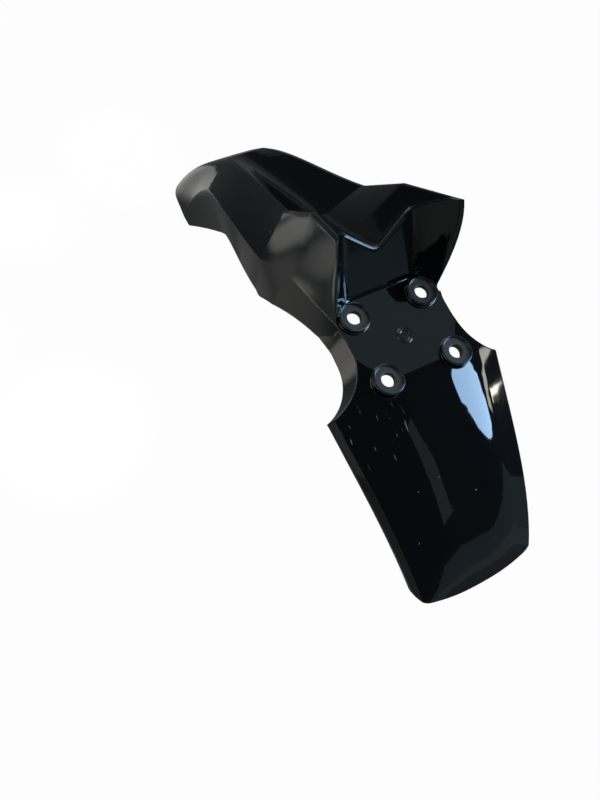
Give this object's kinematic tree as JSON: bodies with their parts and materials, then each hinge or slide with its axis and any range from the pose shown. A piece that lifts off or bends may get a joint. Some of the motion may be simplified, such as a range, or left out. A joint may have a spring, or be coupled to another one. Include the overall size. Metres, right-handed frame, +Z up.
{
  "type": "motorcycle front mudguard",
  "caption": "Wheel-hugging motorcycle front mudguard: one moulded shell with a bolt pad between fork notches, a faceted hump with raised wings, a long beak and a curved tail.",
  "frame": {"origin": "centre of the bolt hole pattern, on the plane of the bolt seats", "axes": "+X to the right across the wheel, +Y forward along the guard towards the beak, +Z up, away from the wheel"},
  "size_m": [0.1794, 0.5795, 0.3431],
  "materials": {
    "gloss_black": "deep gloss black"
  },
  "bodies": {
    "root": {"mudguard": "gloss_black"}
  },
  "joints": []
}
